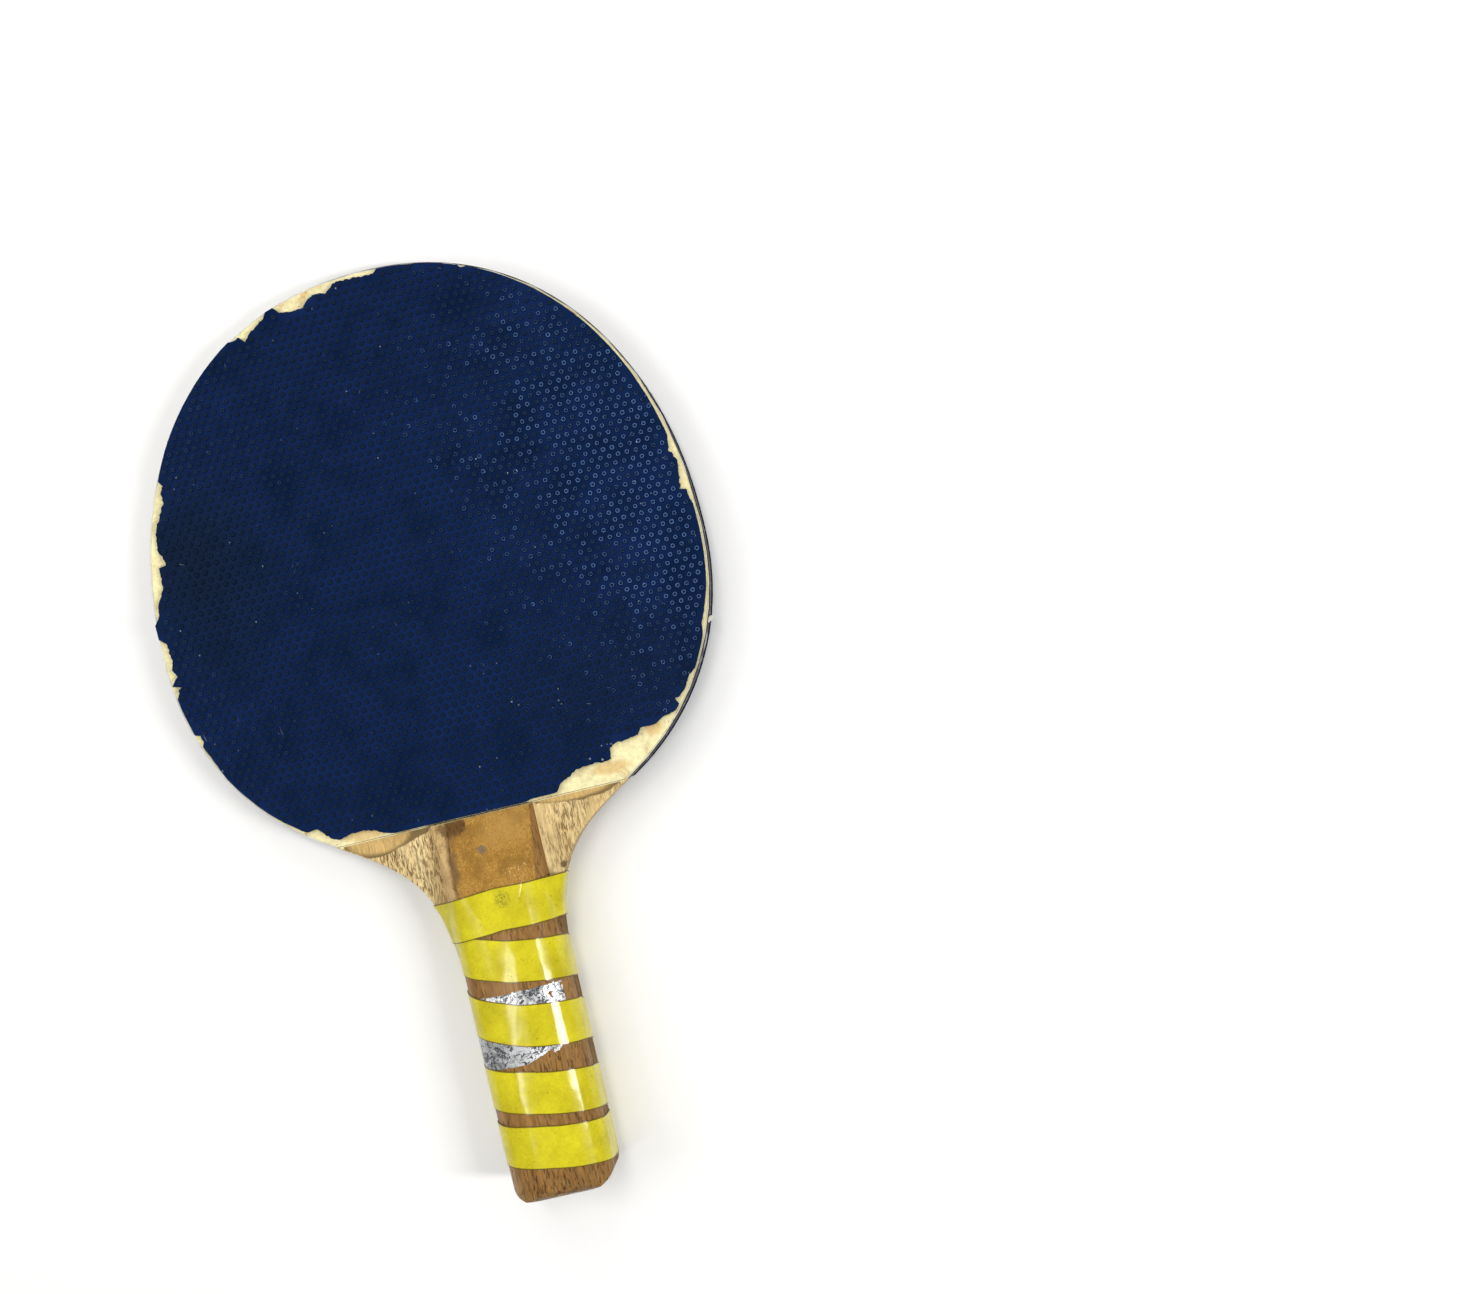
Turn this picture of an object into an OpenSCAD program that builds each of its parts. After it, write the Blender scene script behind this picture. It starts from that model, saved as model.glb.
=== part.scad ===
/* [Blade] */
// Widest width of the blade, edge binding included
head_w = 150; // [120:1:180]
// Length of the blade from its widest line to the tip
tip_len = 88; // [70:0.5:106]
// Length of the oval below the widest line, if it ran on to a point
heel_len = 71.5; // [64:0.5:86]
// Distance from the widest line to the straight lower edge of the rubber
heel_cut = 61.3; // [52:0.1:62]
// Squareness of the upper half of the oval, 2 is a true ellipse
tip_square = 2.18; // [2:0.01:2.6]
// Squareness of the lower half of the oval
heel_square = 2.09; // [2:0.01:2.6]
// Angle below the widest line at which the oval turns into the neck
neck_angle = 58; // [50:1:62]
// Distance below the rubber's edge at which the neck has become the handle
neck_len = 42; // [40:1:52]
// How far the neck curve follows the oval before it bends
neck_pull_head = 18.5; // [12:0.5:24]
// How far the neck curve follows the handle before it bends
neck_pull_handle = 26.5; // [20:0.5:32]

/* [Plywood] */
// Thickness of the middle ply
core_t = 2.9; // [1.5:0.1:4]
// Thickness of each cross-grain ply
cross_t = 1; // [0.5:0.1:1.6]
// Thickness of each outer ply
face_t = 0.8; // [0.4:0.1:1.4]
// Thickness of the binding strip round the blade's edge
band_t = 0.5; // [0.3:0.05:1]

/* [Rubber] */
// Thickness of each pimpled rubber sheet, pimples included
rubber_t = 1.8; // [1:0.1:2.4]
// Bare rim that the front sheet leaves inside the blade's outline
front_margin = 0.9; // [0.5:0.1:2]
// How far the rear sheet stands out past the blade's outline
rear_overhang = 0.3; // [0.1:0.1:0.8]
// Thickness of the dried glue under each sheet
glue_t = 0.2; // [0.1:0.05:0.4]
// How far the glue was smeared down the neck past the sheet
glue_smear = 3; // [1:0.5:6]

/* [Handle] */
// Length of the handle from the rubber's edge to the butt
handle_len = 102; // [80:1:125]
// Width of the handle at its middle
handle_w = 28.2; // [23:0.2:34]
// Width of the handle at its butt
butt_w = 27; // [24:0.2:34]
// Thickness of the handle over both scales
handle_t = 23; // [18:0.5:28]
// Squareness of the handle's cross-section
handle_square = 2.5; // [2.1:0.1:4]
// Length of the ramp where each scale rises from the blade
ramp_len = 32; // [22:1:40]
// Height of the ramp's foot over the blade
ramp_foot = 1.4; // [0.8:0.1:1.8]
// Length of the rounded end of the butt
butt_round = 5; // [4:0.5:8]
// Squareness of the rounded end of the butt
butt_square = 2.2; // [2:0.1:4]
// Gap between the scale and the rubber's lower edge
scale_gap = 0.25; // [0.1:0.05:0.6]

/* [Grip tape] */
// Width of the tape
tape_w = 11.2; // [8:0.1:14]
// Thickness of the tape
tape_t = 0.18; // [0.12:0.02:0.3]
// Air left between the handle and the tape
tape_gap = 0.2; // [0.18:0.02:0.3]
// Distance from the rubber's edge to the middle of the top ring
tape_top = 25.1; // [22:0.1:32]
// Bare wood between the tape's lower edge and the butt
tape_bare = 4.8; // [3:0.1:12]

/* [Label and decal] */
// Width of the foil label along the handle
label_len = 19; // [12:0.5:26]
// Distance from the rubber's edge to the label
label_from = 46.6; // [40:0.2:56]
// Angle round the handle at which the label starts, 0 is the right side
label_start = 34; // [24:1:80]
// Angle round the handle at which the label ends
label_end = 204; // [150:1:230]
// Thickness of the label and of the decal
label_t = 0.08; // [0.06:0.01:0.1]
// Air left under the label and the decal
label_gap = 0.03; // [0.02:0.01:0.04]
// Width of the decal on the front ramp
decal_w = 18; // [8:0.5:18]
// Length of the decal along the ramp
decal_len = 16.5; // [8:0.5:17]
// Distance from the rubber's edge to the decal
decal_from = 1; // [0.8:0.1:4]

/* [Hidden] */

oval_steps = 40;
neck_steps = 24;
side_steps = 12;
cap_steps = 14;
section_steps = 64;
ramp_steps = 24;
turn_steps = 72;
label_steps = 40;
// Angle at which a stretched strip leaves the scale to reach the plies' edge at the neck
bridge_angle = 50;

ply_t = core_t + 2 * cross_t + 2 * face_t;
face_z = ply_t / 2;
glue_z = face_z + glue_t;
rubber_z = glue_z + rubber_t;
handle_z = handle_t / 2;

// The blade is drawn from its widest line, then moved so that the whole paddle's middle is the origin
cut_y = -heel_cut;
butt_y = cut_y - handle_len;
tip_y = tip_len + rear_overhang;
centre_y = (tip_y + butt_y) / 2;
// More than the paddle's length, for cutting away one side of a line
far = 400;

// Torn places round the front sheet: clock angle from the tip, radius of the bite, its depth
tears = [[-23, 3, 2.4], [-14, 8, 2.6], [-6, 14, 1.4], [-58, 9, 2.6], [-65, 10, 2.8], [-72, 11, 2.4],
         [-80, 10, 1.6], [-93, 8, 1.4], [-111, 3, 1], [-147, 7, 3.6], [82, 20, 1], [128, 9, 2.4],
         [137, 11, 4.6], [145, 12, 6]];

// Way of the tape from its loose end: turns wound, then the share of the wrapped length gone down
tape_way = [[-0.55, 0.024], [-0.25, 0.024], [0, 0], [0.25, 0.01], [0.5, 0.065], [0.75, 0.127], [1, 0.205],
            [1.25, 0.255], [1.75, 0.366], [2, 0.46], [2.25, 0.51], [2.75, 0.666], [3, 0.725], [3.25, 0.782],
            [3.75, 0.895], [4, 0.938], [4.25, 0.985], [4.6, 1]];
// The end of the top ring lies on the turn below it and comes down to the wood between these turns
lift_from = 0.1;
lift_to = 0.4;

function power(v, p) = pow(max(v, 0), p);
function oval_point(a, len, square) =
    [head_w / 2 * power(cos(a), 2 / square), len * power(sin(a), 2 / square)];
// Half width of the handle, from where the neck ends to where the butt's rounding begins
neck_y = cut_y - neck_len;
cap_y = butt_y + butt_round;
function side_half_w(y) = let(s = (neck_y - y) / (neck_y - cap_y))
    handle_w / 2 + (butt_w - handle_w) / 2 * s * s;
function bezier(p, u) =
    pow(1 - u, 3) * p[0] + 3 * u * pow(1 - u, 2) * p[1] + 3 * u * u * (1 - u) * p[2] + pow(u, 3) * p[3];

upper_half = [for (i = [0:oval_steps]) oval_point(90 - 90 * i / oval_steps, tip_len, tip_square)];
lower_half = [for (i = [1:oval_steps]) let(p = oval_point(neck_angle * i / oval_steps, heel_len, heel_square))
              [p.x, -p.y]];
neck_from = lower_half[oval_steps - 1];
neck_way = neck_from - lower_half[oval_steps - 2];
neck_poles = [neck_from, neck_from + neck_pull_head * neck_way / norm(neck_way),
              [side_half_w(neck_y), neck_y + neck_pull_handle], [side_half_w(neck_y), neck_y]];
neck = [for (i = [1:neck_steps]) bezier(neck_poles, i / neck_steps)];
sides = [for (i = [1:side_steps]) let(y = neck_y + (cap_y - neck_y) * i / side_steps) [side_half_w(y), y]];
cap = [for (i = [1:cap_steps]) let(a = 90 * i / cap_steps)
       [butt_w / 2 * power(cos(a), 2 / butt_square), cap_y - butt_round * power(sin(a), 2 / butt_square)]];
right_side = concat(upper_half, lower_half, neck, sides, cap);
last_point = len(right_side) - 1;

// Outward direction of the outline at each of its points
function outward(i) = i == 0 ? [0, 1] : i == last_point ? [0, -1] :
    let(d = right_side[i + 1] - right_side[i - 1]) [-d.y, d.x] / norm(d);
function inset_side(t) = [for (i = [0:last_point]) right_side[i] - t * outward(i)];
function mirrored(points) = concat(points, [for (i = [len(points) - 2:-1:1]) [-points[i].x, points[i].y]]);

// Half width of the outline at a height, with the butt's rounding left out
function outline_half_w(y) = lookup(max(y, cap_y), [for (i = [last_point:-1:0]) [right_side[i].y, right_side[i].x]]);
// Height of a scale's back over the middle plane
function scale_z(y) = let(s = min(max((cut_y - y) / ramp_len, 0), 1))
    face_z + ramp_foot + (handle_z - face_z - ramp_foot) * sin(90 * s);
// The handle's rounded section is this wide, so that it meets the outer plies at the handle's own width
round_half_w = handle_w / 2 / pow(1 - pow(face_z / handle_z, handle_square), 1 / handle_square);
function round_r(c, s) = pow(pow(c / round_half_w, handle_square) + pow(s / handle_z, handle_square),
                             -1 / handle_square);
// Distance from the handle's axis to the scales, with c and s the direction's cosine and sine
function scale_r(y, c, s) = min(round_r(c, s), scale_z(y) / max(s, 0.001),
                                min(handle_w / 2, outline_half_w(y)) / max(c, 0.001));
// Distance to a stretched strip: it follows the scales, the plies' edges and the line that bridges them
function section_r(y, a) = let(c = abs(cos(a)), s = abs(sin(a)), w = outline_half_w(y),
    q = scale_r(y, cos(bridge_angle), sin(bridge_angle)) * [cos(bridge_angle), sin(bridge_angle)],
    bridge = s * w > c * face_z && s * q.x < c * q.y
        ? (w * q.y - face_z * q.x) / (c * (q.y - face_z) - s * (q.x - w)) : 0)
    max(scale_r(y, c, s), min(w / max(c, 0.001), face_z / max(s, 0.001)), bridge);
function on_handle(y, a, gap) = let(r = section_r(y, a) + gap) [r * cos(a), y, r * sin(a)];
function rim_point(a) = let(len = cos(a) > 0 ? tip_len : heel_len, n = cos(a) > 0 ? tip_square : heel_square,
    r = pow(pow(abs(sin(a)) * 2 / head_w, n) + pow(abs(cos(a)) / len, n), -1 / n)) r * [sin(a), cos(a)];

// A ribbon round the handle, cut at one angle: three points on its underside and three on its back
function ribbon_ring(low_y, high_y, a, gap, t) = let(across = [low_y, (low_y + high_y) / 2, high_y])
    concat([for (i = [0:2]) on_handle(across[i], a, gap)], [for (i = [2:-1:0]) on_handle(across[i], a, gap + t)]);
// Triangles between such rings, and the lids at the ribbon's two ends
function strip_faces(rings) = let(n = 6, last = (rings - 1) * n) concat(
    [for (i = [0:rings - 2], j = [0:n - 1]) let(k = (j + 1) % n) [i * n + j, (i + 1) * n + j, (i + 1) * n + k]],
    [for (i = [0:rings - 2], j = [0:n - 1]) let(k = (j + 1) % n) [i * n + j, (i + 1) * n + k, i * n + k]],
    [[0, 1, 4, 5], [1, 2, 3, 4], [for (j = [5, 4, 1, 0]) last + j], [for (j = [4, 3, 2, 1]) last + j]]);

module place() {
    translate([0, -centre_y, 0]) children();
}

module outline(inset) {
    polygon(mirrored(inset_side(inset)));
}

module above_cut(drop = 0) {
    translate([-far / 2, cut_y - drop]) square([far, far]);
}

module binding_outline() {
    difference() {
        intersection() {
            outline(0);
            above_cut();
        }
        outline(band_t);
    }
}

module ply(z, t, tint) {
    color(tint) place() translate([0, 0, z]) linear_extrude(t) difference() {
        outline(0);
        binding_outline();
    }
}

module core_ply() {
    ply(-core_t / 2, core_t, "wheat");
}

module front_cross_ply() {
    ply(core_t / 2, cross_t, "tan");
}

module rear_cross_ply() {
    ply(-core_t / 2 - cross_t, cross_t, "tan");
}

module front_face_ply() {
    ply(core_t / 2 + cross_t, face_t, "burlywood");
}

module rear_face_ply() {
    ply(-face_z, face_t, "burlywood");
}

module edge_band() {
    color("ivory") place() translate([0, 0, -face_z]) linear_extrude(ply_t) binding_outline();
}

// Dried glue over the blade and a little way down the neck on both sides of the scale
module glue_film(z) {
    color("palegoldenrod") place() translate([0, 0, z]) linear_extrude(glue_t) difference() {
        intersection() {
            outline(band_t);
            above_cut(glue_smear);
        }
        translate([-handle_w / 2 - scale_gap, cut_y - far]) square([handle_w + 2 * scale_gap, far]);
    }
}

module front_glue_film() {
    glue_film(face_z);
}

module rear_glue_film() {
    glue_film(-glue_z);
}

module rubber_outline(margin) {
    intersection() {
        outline(margin);
        above_cut();
    }
}

module front_rubber() {
    color("midnightblue") place() translate([0, 0, glue_z]) linear_extrude(rubber_t) difference() {
        rubber_outline(front_margin);
        for (tear = tears) {
            rim = rim_point(tear[0]);
            translate(rim * (1 + (tear[1] - tear[2] - front_margin) / norm(rim))) circle(tear[1], $fn = 48);
        }
    }
}

module rear_rubber() {
    color("midnightblue") place() translate([0, 0, -rubber_z]) linear_extrude(rubber_t)
        rubber_outline(-rear_overhang);
}

// Side view of one scale: the ramp, the level back and the rounded butt
module scale_profile() {
    ramp_end = cut_y - ramp_len;
    polygon(concat([[butt_y, face_z]],
        [for (i = [cap_steps - 1:-1:1]) let(a = 90 * i / cap_steps)
         [cap_y - butt_round * power(sin(a), 2 / butt_square),
          face_z + (handle_z - face_z) * power(cos(a), 2 / butt_square)]],
        [[cap_y, handle_z]],
        [for (i = [0:ramp_steps]) let(y = ramp_end + (ramp_len - scale_gap) * i / ramp_steps) [y, scale_z(y)]],
        [[cut_y - scale_gap, face_z]]));
}

module handle_section() {
    polygon([for (i = [0:section_steps - 1]) let(a = 360 * i / section_steps)
             round_r(abs(cos(a)), abs(sin(a))) * [cos(a), sin(a)]]);
}

module front_scale_shape() {
    intersection() {
        linear_extrude(handle_t) intersection() {
            outline(0);
            translate([-handle_w / 2, butt_y]) square([handle_w, handle_len]);
        }
        rotate([90, 0, 90]) linear_extrude(handle_w * 2, center = true) scale_profile();
        rotate([90, 0, 0]) linear_extrude(far, center = true) handle_section();
    }
}

module front_handle_scale() {
    color("peru") place() front_scale_shape();
}

module rear_handle_scale() {
    color("peru") place() mirror([0, 0, 1]) front_scale_shape();
}

// One strip wound down the handle
module grip_tape() {
    first = tape_way[0][0];
    last = tape_way[len(tape_way) - 1][0];
    rings = ceil((last - first) * turn_steps) + 1;
    top_y = cut_y - tape_top;
    wrapped = handle_len - tape_top - tape_bare - tape_w / 2;
    points = [for (i = [0:rings - 1]) let(
        turn = first + (last - first) * i / (rings - 1), a = 90 - 360 * turn,
        y = top_y - wrapped * lookup(turn, tape_way),
        lift = (tape_t + tape_gap) * min(max((lift_to - turn) / (lift_to - lift_from), 0), 1))
        each ribbon_ring(y - tape_w / 2, y + tape_w / 2, a, tape_gap + lift, tape_t)];
    color("gold") place() polyhedron(points, strip_faces(rings));
}

module foil_label() {
    top_y = cut_y - label_from;
    points = [for (i = [0:label_steps]) let(a = label_start + (label_end - label_start) * i / label_steps)
        each ribbon_ring(top_y - label_len, top_y, a, label_gap, label_t)];
    color("silver") place() polyhedron(points, strip_faces(label_steps + 1));
}

// Paper left on the front ramp, a thin sheet that follows the ramp's curve
module decal_remnant() {
    top_y = cut_y - decal_from;
    edge = [for (i = [0:ramp_steps]) top_y - decal_len * i / ramp_steps];
    color("sandybrown") place() rotate([90, 0, 90]) linear_extrude(decal_w, center = true)
        polygon(concat([for (y = edge) [y, scale_z(y) + label_gap]],
                       [for (i = [ramp_steps:-1:0]) [edge[i], scale_z(edge[i]) + label_gap + label_t]]));
}

core_ply();
front_cross_ply();
rear_cross_ply();
front_face_ply();
rear_face_ply();
edge_band();
front_glue_film();
rear_glue_film();
front_rubber();
rear_rubber();
front_handle_scale();
rear_handle_scale();
grip_tape();
foil_label();
decal_remnant();
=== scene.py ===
"""A worn table tennis paddle: pimpled navy sheets on a plywood blade, a taped wooden handle, and its stage."""

import math
from bisect import bisect_right

import bmesh
import bpy
import numpy as np
from bpy.props import FloatProperty, FloatVectorProperty, IntProperty, PointerProperty
from mathutils import Matrix, Vector, noise


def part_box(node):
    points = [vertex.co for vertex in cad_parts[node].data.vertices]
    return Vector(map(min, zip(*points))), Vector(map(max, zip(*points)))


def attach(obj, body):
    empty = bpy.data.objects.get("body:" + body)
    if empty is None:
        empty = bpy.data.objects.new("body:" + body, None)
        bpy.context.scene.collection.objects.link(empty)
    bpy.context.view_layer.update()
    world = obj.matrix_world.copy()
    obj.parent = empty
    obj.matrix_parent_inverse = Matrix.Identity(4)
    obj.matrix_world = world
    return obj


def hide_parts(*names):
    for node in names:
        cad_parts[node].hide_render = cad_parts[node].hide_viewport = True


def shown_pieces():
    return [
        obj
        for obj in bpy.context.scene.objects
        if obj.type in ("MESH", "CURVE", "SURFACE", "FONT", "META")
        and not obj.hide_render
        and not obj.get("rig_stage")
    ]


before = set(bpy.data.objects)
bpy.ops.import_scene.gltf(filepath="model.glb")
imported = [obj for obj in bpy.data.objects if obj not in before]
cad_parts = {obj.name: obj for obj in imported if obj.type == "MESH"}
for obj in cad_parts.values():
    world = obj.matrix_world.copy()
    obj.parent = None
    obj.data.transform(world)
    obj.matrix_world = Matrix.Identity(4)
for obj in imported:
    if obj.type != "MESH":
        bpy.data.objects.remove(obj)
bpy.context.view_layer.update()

bl_info = {
    "name": "Worn table tennis paddle",
    "version": (1, 0, 0),
    "blender": (4, 5, 0),
    "location": "View3D > Sidebar > Paddle",
    "description": "Builds a worn, taped table tennis paddle round its packed frame",
    "category": "Add Mesh",
}

MM = 0.001

# ---------------------------------------------------------------- shape of the paddle, in millimetres

HEAD_W, TIP_LEN, HEEL_LEN = 150.0, 88.0, 71.5
TIP_SQUARE, HEEL_SQUARE = 2.18, 2.09
HEAD_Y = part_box("edge_band")[1].y / MM - TIP_LEN
CUT_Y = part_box("front_rubber")[0].y / MM
CUT_DROP = HEAD_Y - CUT_Y
BUTT_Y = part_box("front_handle_scale")[0].y / MM
FACE_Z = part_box("front_face_ply")[1].z / MM
GLUE_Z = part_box("front_glue_film")[1].z / MM
RUBBER_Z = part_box("front_rubber")[1].z / MM
HANDLE_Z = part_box("front_handle_scale")[1].z / MM
HANDLE_W, HANDLE_SQUARE = 28.2, 2.5
RAMP_LEN, RAMP_FOOT = 32.0, 1.4
BUTT_ROUND = 5.0
TAPE_TOP, TAPE_BARE = 25.1, 4.8
BRIDGE_ANGLE = math.radians(50)
# Directions round the handle, in degrees from its right side, between which the foil is stuck
FOIL_START, FOIL_END = 33.0, 204.0
FOIL_THICK, PAPER_THICK = 0.05, 0.07

# Rim of the front sheet, clockwise from the tip: degrees, and how far in from the blade's edge it is worn or torn
TORN_RIM = (
    (-180, 0.3), (-159, 0.3), (-156.5, 1.1), (-154, 2.7), (-149.5, 3.4), (-147.3, 2.4), (-144, 2.7), (-142, 3.5),
    (-141, 2.4), (-140, 1.4), (-131, 0.9), (-120, 0.8), (-113.5, 1.4), (-111.3, 1.1), (-110.5, 2.1), (-109, 2.1),
    (-108.4, 1.0), (-100, 1.1), (-99, 2.0), (-98.3, 2.0), (-98, 3.5), (-97.2, 0.9), (-96, 2.2), (-95.5, 3.2),
    (-94, 2.2), (-92, 3.0), (-88, 2.5), (-87, 0.6), (-84, 0.4), (-82, 1.9), (-80, 2.1), (-76, 4.0), (-74.5, 3.8),
    (-72, 3.2), (-71.3, 5.2), (-69.5, 4.2), (-69, 3.1), (-65, 2.1), (-62, 2.8), (-60, 3.4), (-58.5, 3.5), (-57, 2.3),
    (-55.5, 2.4), (-55, 1.0), (-48, 0.7), (-26, 0.5), (-25.3, 1.3), (-24, 1.6), (-23.5, 3.9), (-22, 2.8),
    (-20, 2.2), (-18.5, 1.9), (-17.5, 0.7), (-16, 0.8), (-15.3, 3.0), (-13, 4.5), (-11, 4.8), (-10, 3.6), (-8.3, 2.7),
    (-6, 3.6), (-5, 2.6), (-4.3, 1.6), (0, 1.9), (3, 2.1), (4, 0.8), (18.5, 0.7), (19, 1.3), (20, 0.7), (30, 0.9),
    (71, 1.2), (74, 2.5), (76.5, 1.4), (80, 2.4), (81.5, 2.9), (82.3, 3.4), (82.7, 1.8), (84, 1.6), (86, 0.9),
    (103, 0.9), (110.5, 1.5), (113, 0.8), (120, 0.7), (121.5, 1.5), (125, 1.3), (126.5, 1.8), (127.3, 2.5),
    (128, 0.9), (129.5, 1.0), (132, 3.0), (134.5, 4.2), (136.5, 6.6), (138, 5.8), (140.5, 7.6), (143.5, 9.3),
    (144.5, 9.1), (146, 6.9), (149, 6.9), (153, 6.3), (156, 4.6), (158, 3.5), (159, 3.1), (160.5, 1.1), (161, 0.8),
    (167, 0.7), (168.2, 0.3), (180, 0.3))

# Way of the tape down the handle: turns wound, and the share of the wrapped length gone down by then
TAPE_WAY = ((-0.55, 0.024), (-0.25, 0.024), (0, 0), (0.25, 0.01), (0.5, 0.065), (0.75, 0.127), (1, 0.205),
            (1.25, 0.255), (1.75, 0.366), (2, 0.46), (2.25, 0.51), (2.75, 0.666), (3, 0.725), (3.25, 0.782),
            (3.75, 0.895), (4, 0.938), (4.25, 0.985), (4.6, 1))
# Turns between which the tape comes down from its own doubled first ring
LIFT_FROM, LIFT_TO = 0.1, 0.4
# Where the binding's end has frayed, and into how many fibres
FRAY_X, FRAY_Y, FIBRES = 70.7, 11.9, 7
# Spread of the pimples' tilt and of their width
LEAN, GROWTH = 0.025, 0.035

# How far the varnish-coloured glue was smeared down the neck: distance from the axis, depth below the sheets
SMEAR = ((-39, 0.3), (-37.4, 1.1), (-34.5, 2.8), (-32.9, 3.9), (-30, 5.0), (-27.1, 5.2), (-23.5, 4.6), (-20.6, 3.3),
         (-17.5, 2.2), (-14.8, 1.6), (14.8, 0.9), (18, 1.6), (21.1, 2.1), (26.9, 2.6), (32.2, 2.2),
         (36, 0.8), (39, 0.2))
# Torn lower edge of the foil on the front: distance from the axis, height
FOIL_LOW = ((-17, -89.6), (-0.6, -89.4), (2.5, -88.2), (5.2, -87.2), (5.7, -86.9), (6.6, -87.9), (7.7, -87.8),
            (9.2, -86.2), (10.8, -86.3), (11.9, -84.8), (12.6, -83.0))

# Dirt rubbed into the front sheet: middle, half widths, strength
SMUDGES = ((-57, 55, 21, 34, 0.7), (-62, 62, 13, 17, 0.5), (46, 2, 36, 22, 0.35))
# Stained places on the dried glue: middle, half widths
GLUE_STAINS = ((-31, -22, 8, 2.2), (-42, 107, 9, 3.5), (50, -12, 3, 3), (36, -20, 6, 2))

# ---------------------------------------------------------------- lights and camera, in metres

# Large soft lights: name, place across and along, share of the mean power
SOFT_LIGHTS = (("soft_left", -0.95, 0.25, 1.6), ("soft_right", 1.0, 0.45, 0.5), ("soft_tip", 0.1, 1.1, 1.05),
               ("soft_butt", 0.0, -1.15, 0.45))
# Lights whose reflections run down the tape as two streaks: name, place, width, height, share of their power
GLINT_LIGHTS = (("glint_right", (0.66, -0.25, 0.72), 0.09, 0.36, 1.8),
                ("glint_left", (-0.27, -0.21, 0.72), 0.026, 0.3, 0.22))
TAPE_MIDDLE, HEAD_RIGHT = (0, -0.09, 0), (0.06, 0.045, 0)
CAMERA_PLACE = (0.09529, -0.0124, 0.39774)
# Directions of the camera's right side, top and back
CAMERA_AXES = ((0.97056004, -0.23319992, -0.06025777), (0.23511584, 0.97159647, 0.02684839),
               (0.05228519, -0.04022553, 0.99782171))


# ---------------------------------------------------------------- outlines

def along(pairs, x):
    """The value that a list of (place, value) pairs takes at x."""
    return float(np.interp(x, [p[0] for p in pairs], [p[1] for p in pairs]))


def rough(x, y, z=0.0, size=1.0):
    """Smooth noise from -1 to 1 whose lumps are about size millimetres across."""
    return noise.noise(Vector((x / size, y / size, z / size)))


def rim_radius(angle):
    """Distance from the head's middle to the blade's edge, clockwise from the tip."""
    s, c = abs(math.sin(angle)), math.cos(angle)
    length, square = (TIP_LEN, TIP_SQUARE) if c > 0 else (HEEL_LEN, HEEL_SQUARE)
    return ((s * 2 / HEAD_W) ** square + (abs(c) / length) ** square) ** (-1 / square)


def rear_sheet_radius(angle):
    """Distance from the head's middle to the rear sheet's edge, which is straight across above the handle."""
    r = rim_radius(angle) + 0.3
    if math.cos(angle) < 0:
        r = min(r, CUT_DROP / -math.cos(angle))
    return r - 0.05 * (1 + rough(60 * angle, 0, 4))


def front_sheet_radius(angle):
    """Distance from the head's middle to the torn front sheet's edge."""
    r = rim_radius(angle)
    if math.cos(angle) < 0:
        r = min(r, (CUT_DROP + 0.1) / -math.cos(angle))
    worn = along(TORN_RIM, math.degrees(angle))
    x, y = r * math.sin(angle), r * math.cos(angle)
    ragged = 0.5 * min(max(worn - 0.9, 0.12), 1.0)
    return r - worn - ragged * (0.7 * rough(x, y, 7, 1.1) + 0.45 * rough(x, y, 3, 0.45))


def plan_corners():
    """Places along the neck and handle, and half widths there, read from the front ply's corners."""
    corners = {}
    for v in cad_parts["front_face_ply"].data.vertices:
        y = round(v.co.y / MM, 4)
        if y < CUT_Y + 1:
            corners[y] = max(corners.get(y, 0), v.co.x / MM)
    return sorted(corners.items())


PLAN = plan_corners()


def plan_half_w(y):
    """Half width of the plies at a place along the neck and handle."""
    return along(PLAN, max(y, BUTT_Y + BUTT_ROUND))


def scale_height(y):
    """Height of a scale's back over the blade's middle plane."""
    s = min(max((CUT_Y - y) / RAMP_LEN, 0), 1)
    return FACE_Z + RAMP_FOOT + (HANDLE_Z - FACE_Z - RAMP_FOOT) * math.sin(math.radians(90 * s))


ROUND_HALF_W = HANDLE_W / 2 / (1 - (FACE_Z / HANDLE_Z) ** HANDLE_SQUARE) ** (1 / HANDLE_SQUARE)


def scale_reach(y, c, s):
    """Distance from the handle's axis to the scales, in the direction with cosine c and sine s."""
    rounded = ((c / ROUND_HALF_W) ** HANDLE_SQUARE + (s / HANDLE_Z) ** HANDLE_SQUARE) ** (-1 / HANDLE_SQUARE)
    return min(rounded, scale_height(y) / max(s, 1e-3), min(HANDLE_W / 2, plan_half_w(y)) / max(c, 1e-3))


def scale_top(x, y):
    """Height of the front scale's surface over the blade's middle plane."""
    side = max(1 - (abs(x) / ROUND_HALF_W) ** HANDLE_SQUARE, 0)
    return min(scale_height(y), HANDLE_Z * side ** (1 / HANDLE_SQUARE))


def grip_reach(y, angle):
    """Distance from the handle's axis to something stretched round scales and plies."""
    c, s, w = abs(math.cos(angle)), abs(math.sin(angle)), plan_half_w(y)
    bc, bs = math.cos(BRIDGE_ANGLE), math.sin(BRIDGE_ANGLE)
    q = scale_reach(y, bc, bs)
    qx, qz, bridge = q * bc, q * bs, 0.0
    if s * w > c * FACE_Z and s * qx < c * qz:
        bridge = (w * qz - FACE_Z * qx) / (c * (qz - FACE_Z) - s * (qx - w))
    return max(scale_reach(y, c, s), min(w / max(c, 1e-3), FACE_Z / max(s, 1e-3)), bridge)


def on_grip(y, angle, gap):
    """A point that far above the handle's surface, in metres."""
    r = grip_reach(y, angle) + gap
    return Vector((r * math.cos(angle), y, r * math.sin(angle))) * MM


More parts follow.
